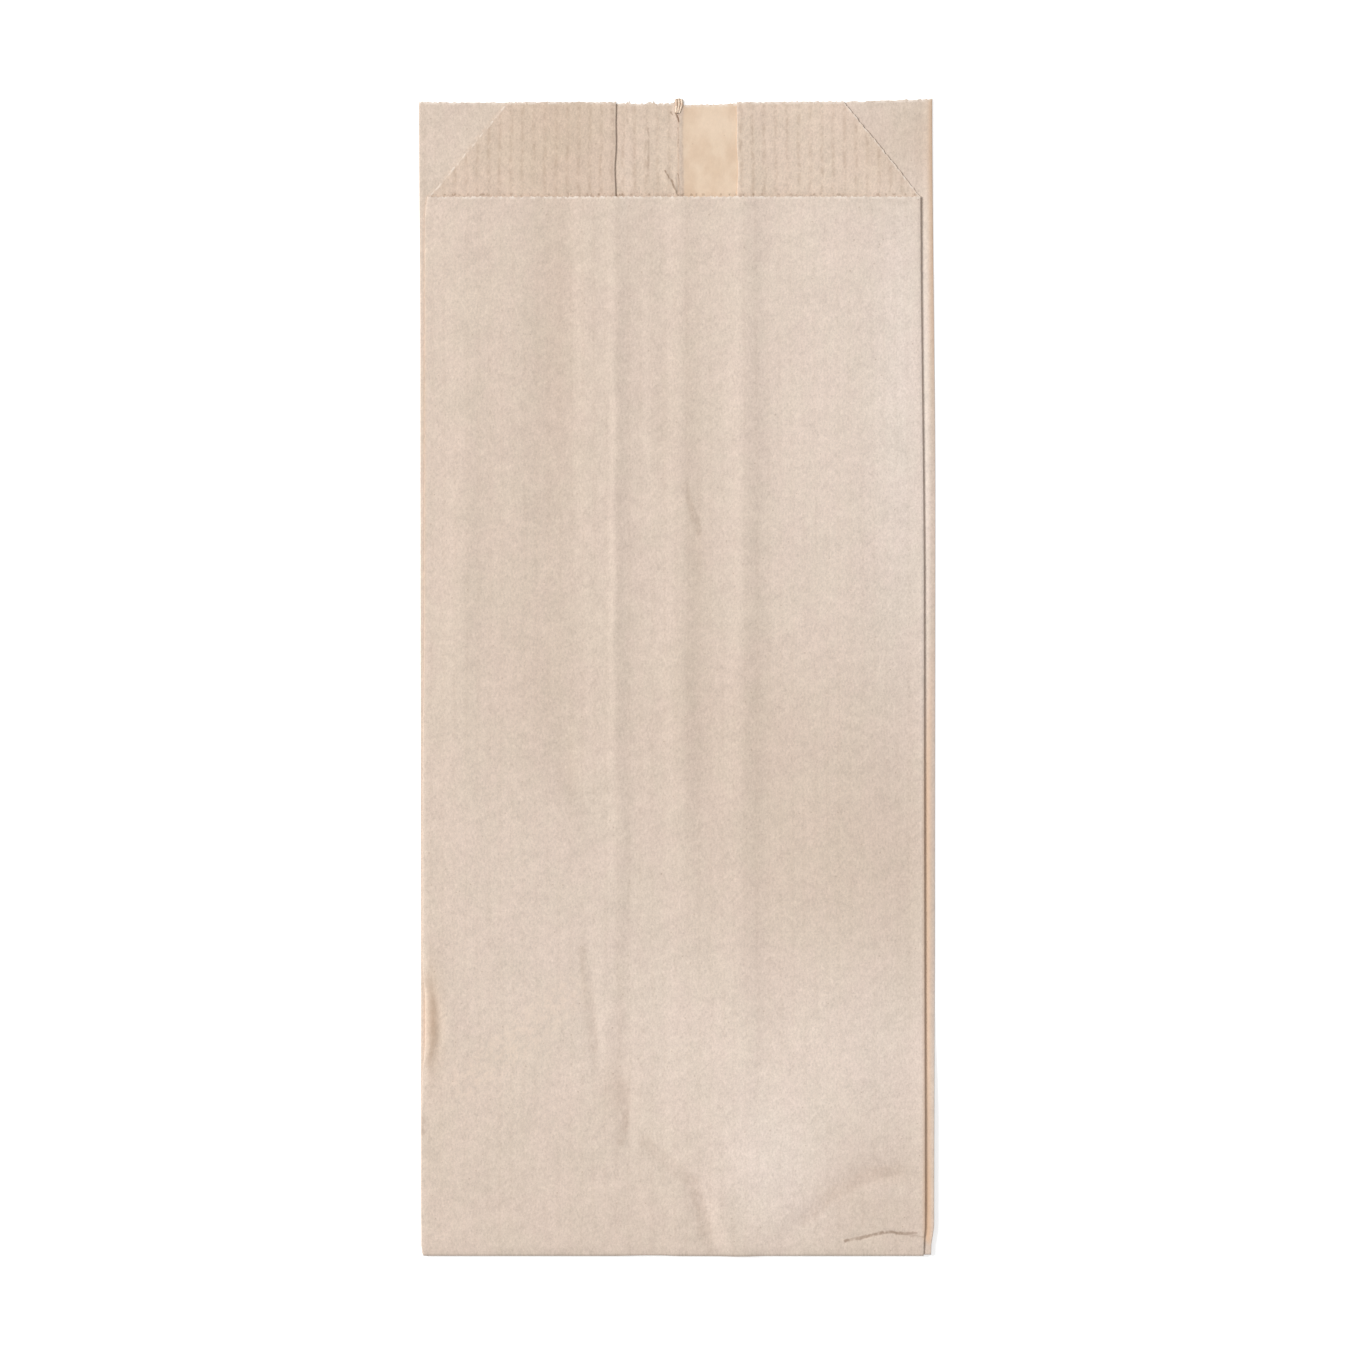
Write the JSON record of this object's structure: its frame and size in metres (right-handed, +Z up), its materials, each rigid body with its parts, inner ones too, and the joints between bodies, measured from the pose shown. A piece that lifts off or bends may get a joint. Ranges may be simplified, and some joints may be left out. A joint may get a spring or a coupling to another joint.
{
  "type": "paper lunch bag",
  "caption": "Flat brown kraft paper lunch bag with side gussets, a stepped serrated mouth, a lapped back seam and a turned-up pasted bottom.",
  "frame": {"origin": "middle of the bag's outline, at the height of the surface that its back panel lies on", "axes": "+Y along the bag towards its mouth, +X to the right seen from the front panel, +Z up out of the front panel"},
  "size_m": [0.12, 0.27, 0.0016],
  "materials": {
    "kraft_paper": "matt brown ribbed kraft, uncoated, lightly creased"
  },
  "bodies": {
    "root": {"paper_bag": "kraft_paper"}
  },
  "joints": []
}
